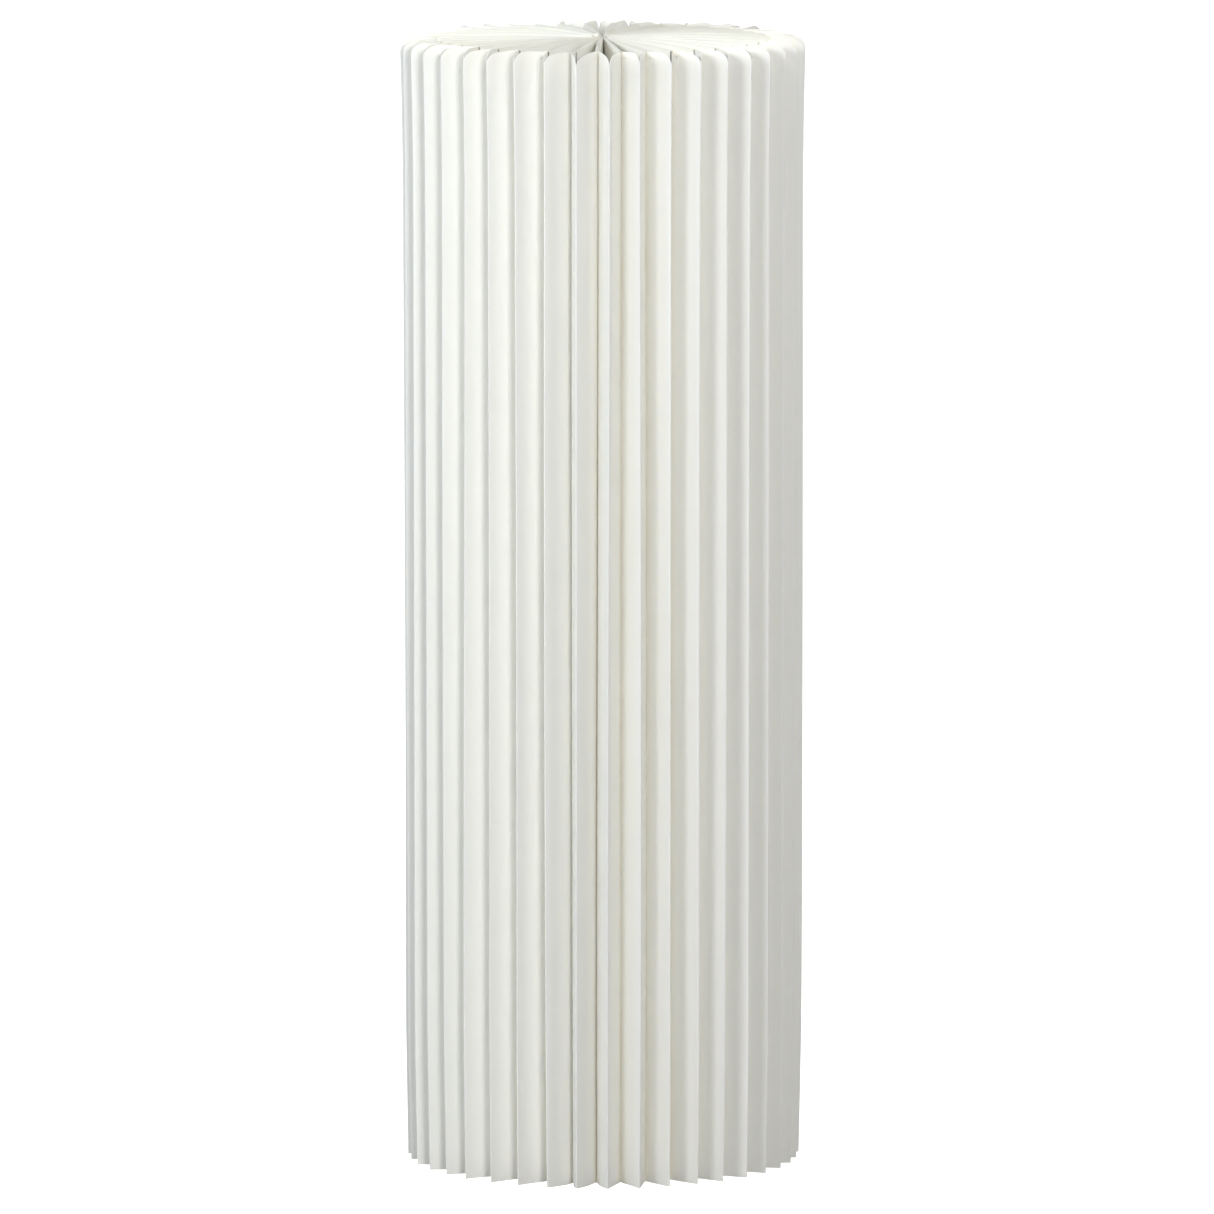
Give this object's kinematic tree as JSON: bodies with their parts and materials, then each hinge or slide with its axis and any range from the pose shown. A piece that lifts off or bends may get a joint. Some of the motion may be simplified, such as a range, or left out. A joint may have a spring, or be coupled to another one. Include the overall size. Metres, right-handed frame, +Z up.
{
  "type": "accordion paper lantern",
  "caption": "Tall standing lantern of vertically pleated white paper, its top drawn in to a rosette of folded leaves, with a battery light hung inside; the sleeve folds up like a fan",
  "frame": {"origin": "centre of the sleeve on the surface it stands on", "axes": "+Z up along the sleeve; -Y is the front, where the closing seam is"},
  "size_m": [0.2998, 0.2998, 0.85],
  "materials": {
    "paper": "uncoated warm white paper, slightly translucent",
    "thread": "twisted cotton cord",
    "tape": "paper tape, adhesive on one side",
    "wire": "drawn nickel-plated steel",
    "casing_plastic": "fine moulded texture",
    "opal_plastic": "opal, satin",
    "cell_jacket": "shrink jacket, plain",
    "board": "solder-masked laminate",
    "led_lens": "cast lens over phosphor",
    "switch_plastic": "moulded, worn smooth on top"
  },
  "bodies": {
    "hanging_set": {"top_rosette": "paper", "gather_cord": "thread", "gather_knot": "thread", "light_loop": "thread", "light_eye": "wire", "light_cover": "casing_plastic"},
    "pleat_01": {"pleat_01": "paper"},
    "pleat_02": {"pleat_02": "paper"},
    "pleat_03": {"pleat_03": "paper"},
    "pleat_04": {"pleat_04": "paper"},
    "pleat_05": {"pleat_05": "paper"},
    "pleat_06": {"pleat_06": "paper"},
    "pleat_07": {"pleat_07": "paper"},
    "pleat_08": {"pleat_08": "paper"},
    "pleat_09": {"pleat_09": "paper"},
    "pleat_10": {"pleat_10": "paper"},
    "pleat_11": {"pleat_11": "paper"},
    "pleat_12": {"pleat_12": "paper"},
    "pleat_13": {"pleat_13": "paper"},
    "pleat_14": {"pleat_14": "paper"},
    "pleat_15": {"pleat_15": "paper"},
    "pleat_16": {"pleat_16": "paper"},
    "pleat_17": {"pleat_17": "paper"},
    "pleat_18": {"pleat_18": "paper"},
    "pleat_19": {"pleat_19": "paper"},
    "pleat_20": {"pleat_20": "paper"},
    "pleat_21": {"pleat_21": "paper"},
    "pleat_22": {"pleat_22": "paper"},
    "pleat_23": {"pleat_23": "paper"},
    "pleat_24": {"pleat_24": "paper"},
    "pleat_25": {"pleat_25": "paper"},
    "pleat_26": {"pleat_26": "paper"},
    "pleat_27": {"pleat_27": "paper"},
    "pleat_28": {"pleat_28": "paper"},
    "pleat_29": {"pleat_29": "paper"},
    "pleat_30": {"pleat_30": "paper"},
    "pleat_31": {"pleat_31": "paper"},
    "pleat_32": {"pleat_32": "paper"},
    "pleat_33": {"pleat_33": "paper"},
    "pleat_34": {"pleat_34": "paper"},
    "pleat_35": {"pleat_35": "paper"},
    "pleat_36": {"pleat_36": "paper"},
    "pleat_37": {"pleat_37": "paper"},
    "pleat_38": {"pleat_38": "paper"},
    "pleat_39": {"pleat_39": "paper"},
    "pleat_40": {"pleat_40": "paper", "seam_tape": "tape"},
    "light_body": {"light_casing": "casing_plastic", "batteries": "cell_jacket", "battery_contacts": "wire", "circuit_board": "board", "board_screws": "wire", "led": "led_lens", "diffuser": "opal_plastic"},
    "switch_slider": {"switch_slider": "switch_plastic"}
  },
  "joints": [
    {"name": "fold_01", "type": "hinge", "parent": "hanging_set", "child": "pleat_01", "pos_m": [0, 0, 0], "axis": [0, 0, -1], "range_deg": [0, 8.35], "deforming": ["pleat_01", "top_rosette"]},
    {"name": "fold_02", "type": "hinge", "parent": "pleat_01", "child": "pleat_02", "pos_m": [0, 0, 0], "axis": [0, 0, -1], "range_deg": [0, 8.35], "deforming": ["pleat_02"]},
    {"name": "fold_03", "type": "hinge", "parent": "pleat_02", "child": "pleat_03", "pos_m": [0, 0, 0], "axis": [0, 0, -1], "range_deg": [0, 8.35], "deforming": ["pleat_03"]},
    {"name": "fold_04", "type": "hinge", "parent": "pleat_03", "child": "pleat_04", "pos_m": [0, 0, 0], "axis": [0, 0, -1], "range_deg": [0, 8.35], "deforming": ["pleat_04"]},
    {"name": "fold_05", "type": "hinge", "parent": "pleat_04", "child": "pleat_05", "pos_m": [0, 0, 0], "axis": [0, 0, -1], "range_deg": [0, 8.35], "deforming": ["pleat_05"]},
    {"name": "fold_06", "type": "hinge", "parent": "pleat_05", "child": "pleat_06", "pos_m": [0, 0, 0], "axis": [0, 0, -1], "range_deg": [0, 8.35], "deforming": ["pleat_06"]},
    {"name": "fold_07", "type": "hinge", "parent": "pleat_06", "child": "pleat_07", "pos_m": [0, 0, 0], "axis": [0, 0, -1], "range_deg": [0, 8.35], "deforming": ["pleat_07"]},
    {"name": "fold_08", "type": "hinge", "parent": "pleat_07", "child": "pleat_08", "pos_m": [0, 0, 0], "axis": [0, 0, -1], "range_deg": [0, 8.35], "deforming": ["pleat_08"]},
    {"name": "fold_09", "type": "hinge", "parent": "pleat_08", "child": "pleat_09", "pos_m": [0, 0, 0], "axis": [0, 0, -1], "range_deg": [0, 8.35], "deforming": ["pleat_09"]},
    {"name": "fold_10", "type": "hinge", "parent": "pleat_09", "child": "pleat_10", "pos_m": [0, 0, 0], "axis": [0, 0, -1], "range_deg": [0, 8.35], "deforming": ["pleat_10"]},
    {"name": "fold_11", "type": "hinge", "parent": "pleat_10", "child": "pleat_11", "pos_m": [0, 0, 0], "axis": [0, 0, -1], "range_deg": [0, 8.35], "deforming": ["pleat_11"]},
    {"name": "fold_12", "type": "hinge", "parent": "pleat_11", "child": "pleat_12", "pos_m": [0, 0, 0], "axis": [0, 0, -1], "range_deg": [0, 8.35], "deforming": ["pleat_12"]},
    {"name": "fold_13", "type": "hinge", "parent": "pleat_12", "child": "pleat_13", "pos_m": [0, 0, 0], "axis": [0, 0, -1], "range_deg": [0, 8.35], "deforming": ["pleat_13"]},
    {"name": "fold_14", "type": "hinge", "parent": "pleat_13", "child": "pleat_14", "pos_m": [0, 0, 0], "axis": [0, 0, -1], "range_deg": [0, 8.35], "deforming": ["pleat_14"]},
    {"name": "fold_15", "type": "hinge", "parent": "pleat_14", "child": "pleat_15", "pos_m": [0, 0, 0], "axis": [0, 0, -1], "range_deg": [0, 8.35], "deforming": ["pleat_15"]},
    {"name": "fold_16", "type": "hinge", "parent": "pleat_15", "child": "pleat_16", "pos_m": [0, 0, 0], "axis": [0, 0, -1], "range_deg": [0, 8.35], "deforming": ["pleat_16"]},
    {"name": "fold_17", "type": "hinge", "parent": "pleat_16", "child": "pleat_17", "pos_m": [0, 0, 0], "axis": [0, 0, -1], "range_deg": [0, 8.35], "deforming": ["pleat_17"]},
    {"name": "fold_18", "type": "hinge", "parent": "pleat_17", "child": "pleat_18", "pos_m": [0, 0, 0], "axis": [0, 0, -1], "range_deg": [0, 8.35], "deforming": ["pleat_18"]},
    {"name": "fold_19", "type": "hinge", "parent": "pleat_18", "child": "pleat_19", "pos_m": [0, 0, 0], "axis": [0, 0, -1], "range_deg": [0, 8.35], "deforming": ["pleat_19"]},
    {"name": "fold_20", "type": "hinge", "parent": "pleat_19", "child": "pleat_20", "pos_m": [0, 0, 0], "axis": [0, 0, -1], "range_deg": [0, 8.35], "deforming": ["pleat_20"]},
    {"name": "fold_21", "type": "hinge", "parent": "pleat_20", "child": "pleat_21", "pos_m": [0, 0, 0], "axis": [0, 0, -1], "range_deg": [0, 8.35], "deforming": ["pleat_21"]},
    {"name": "fold_22", "type": "hinge", "parent": "pleat_21", "child": "pleat_22", "pos_m": [0, 0, 0], "axis": [0, 0, -1], "range_deg": [0, 8.35], "deforming": ["pleat_22"]},
    {"name": "fold_23", "type": "hinge", "parent": "pleat_22", "child": "pleat_23", "pos_m": [0, 0, 0], "axis": [0, 0, -1], "range_deg": [0, 8.35], "deforming": ["pleat_23"]},
    {"name": "fold_24", "type": "hinge", "parent": "pleat_23", "child": "pleat_24", "pos_m": [0, 0, 0], "axis": [0, 0, -1], "range_deg": [0, 8.35], "deforming": ["pleat_24"]},
    {"name": "fold_25", "type": "hinge", "parent": "pleat_24", "child": "pleat_25", "pos_m": [0, 0, 0], "axis": [0, 0, -1], "range_deg": [0, 8.35], "deforming": ["pleat_25"]},
    {"name": "fold_26", "type": "hinge", "parent": "pleat_25", "child": "pleat_26", "pos_m": [0, 0, 0], "axis": [0, 0, -1], "range_deg": [0, 8.35], "deforming": ["pleat_26"]},
    {"name": "fold_27", "type": "hinge", "parent": "pleat_26", "child": "pleat_27", "pos_m": [0, 0, 0], "axis": [0, 0, -1], "range_deg": [0, 8.35], "deforming": ["pleat_27"]},
    {"name": "fold_28", "type": "hinge", "parent": "pleat_27", "child": "pleat_28", "pos_m": [0, 0, 0], "axis": [0, 0, -1], "range_deg": [0, 8.35], "deforming": ["pleat_28"]},
    {"name": "fold_29", "type": "hinge", "parent": "pleat_28", "child": "pleat_29", "pos_m": [0, 0, 0], "axis": [0, 0, -1], "range_deg": [0, 8.35], "deforming": ["pleat_29"]},
    {"name": "fold_30", "type": "hinge", "parent": "pleat_29", "child": "pleat_30", "pos_m": [0, 0, 0], "axis": [0, 0, -1], "range_deg": [0, 8.35], "deforming": ["pleat_30"]},
    {"name": "fold_31", "type": "hinge", "parent": "pleat_30", "child": "pleat_31", "pos_m": [0, 0, 0], "axis": [0, 0, -1], "range_deg": [0, 8.35], "deforming": ["pleat_31"]},
    {"name": "fold_32", "type": "hinge", "parent": "pleat_31", "child": "pleat_32", "pos_m": [0, 0, 0], "axis": [0, 0, -1], "range_deg": [0, 8.35], "deforming": ["pleat_32"]},
    {"name": "fold_33", "type": "hinge", "parent": "pleat_32", "child": "pleat_33", "pos_m": [0, 0, 0], "axis": [0, 0, -1], "range_deg": [0, 8.35], "deforming": ["pleat_33"]},
    {"name": "fold_34", "type": "hinge", "parent": "pleat_33", "child": "pleat_34", "pos_m": [0, 0, 0], "axis": [0, 0, -1], "range_deg": [0, 8.35], "deforming": ["pleat_34"]},
    {"name": "fold_35", "type": "hinge", "parent": "pleat_34", "child": "pleat_35", "pos_m": [0, 0, 0], "axis": [0, 0, -1], "range_deg": [0, 8.35], "deforming": ["pleat_35"]},
    {"name": "fold_36", "type": "hinge", "parent": "pleat_35", "child": "pleat_36", "pos_m": [0, 0, 0], "axis": [0, 0, -1], "range_deg": [0, 8.35], "deforming": ["pleat_36"]},
    {"name": "fold_37", "type": "hinge", "parent": "pleat_36", "child": "pleat_37", "pos_m": [0, 0, 0], "axis": [0, 0, -1], "range_deg": [0, 8.35], "deforming": ["pleat_37"]},
    {"name": "fold_38", "type": "hinge", "parent": "pleat_37", "child": "pleat_38", "pos_m": [0, 0, 0], "axis": [0, 0, -1], "range_deg": [0, 8.35], "deforming": ["pleat_38"]},
    {"name": "fold_39", "type": "hinge", "parent": "pleat_38", "child": "pleat_39", "pos_m": [0, 0, 0], "axis": [0, 0, -1], "range_deg": [0, 8.35], "deforming": ["pleat_39"]},
    {"name": "fold_40", "type": "hinge", "parent": "pleat_39", "child": "pleat_40", "pos_m": [0, 0, 0], "axis": [0, 0, -1], "range_deg": [0, 8.35], "deforming": ["pleat_40"]},
    {"name": "casing_twist", "type": "hinge", "parent": "hanging_set", "child": "light_body", "pos_m": [0, 0, 0.77], "axis": [0, 0, 1], "range_deg": [0, 30]},
    {"name": "switch_slide", "type": "slide", "parent": "light_body", "child": "switch_slider", "axis": [0, 1, 0], "range_m": [0, 0.005]}
  ],
  "couplings": [
    {"joint": "fold_02", "follows": "fold_01", "ratio": 1},
    {"joint": "fold_03", "follows": "fold_01", "ratio": 1},
    {"joint": "fold_04", "follows": "fold_01", "ratio": 1},
    {"joint": "fold_05", "follows": "fold_01", "ratio": 1},
    {"joint": "fold_06", "follows": "fold_01", "ratio": 1},
    {"joint": "fold_07", "follows": "fold_01", "ratio": 1},
    {"joint": "fold_08", "follows": "fold_01", "ratio": 1},
    {"joint": "fold_09", "follows": "fold_01", "ratio": 1},
    {"joint": "fold_10", "follows": "fold_01", "ratio": 1},
    {"joint": "fold_11", "follows": "fold_01", "ratio": 1},
    {"joint": "fold_12", "follows": "fold_01", "ratio": 1},
    {"joint": "fold_13", "follows": "fold_01", "ratio": 1},
    {"joint": "fold_14", "follows": "fold_01", "ratio": 1},
    {"joint": "fold_15", "follows": "fold_01", "ratio": 1},
    {"joint": "fold_16", "follows": "fold_01", "ratio": 1},
    {"joint": "fold_17", "follows": "fold_01", "ratio": 1},
    {"joint": "fold_18", "follows": "fold_01", "ratio": 1},
    {"joint": "fold_19", "follows": "fold_01", "ratio": 1},
    {"joint": "fold_20", "follows": "fold_01", "ratio": 1},
    {"joint": "fold_21", "follows": "fold_01", "ratio": 1},
    {"joint": "fold_22", "follows": "fold_01", "ratio": 1},
    {"joint": "fold_23", "follows": "fold_01", "ratio": 1},
    {"joint": "fold_24", "follows": "fold_01", "ratio": 1},
    {"joint": "fold_25", "follows": "fold_01", "ratio": 1},
    {"joint": "fold_26", "follows": "fold_01", "ratio": 1},
    {"joint": "fold_27", "follows": "fold_01", "ratio": 1},
    {"joint": "fold_28", "follows": "fold_01", "ratio": 1},
    {"joint": "fold_29", "follows": "fold_01", "ratio": 1},
    {"joint": "fold_30", "follows": "fold_01", "ratio": 1},
    {"joint": "fold_31", "follows": "fold_01", "ratio": 1},
    {"joint": "fold_32", "follows": "fold_01", "ratio": 1},
    {"joint": "fold_33", "follows": "fold_01", "ratio": 1},
    {"joint": "fold_34", "follows": "fold_01", "ratio": 1},
    {"joint": "fold_35", "follows": "fold_01", "ratio": 1},
    {"joint": "fold_36", "follows": "fold_01", "ratio": 1},
    {"joint": "fold_37", "follows": "fold_01", "ratio": 1},
    {"joint": "fold_38", "follows": "fold_01", "ratio": 1},
    {"joint": "fold_39", "follows": "fold_01", "ratio": 1},
    {"joint": "fold_40", "follows": "fold_01", "ratio": 1}
  ]
}
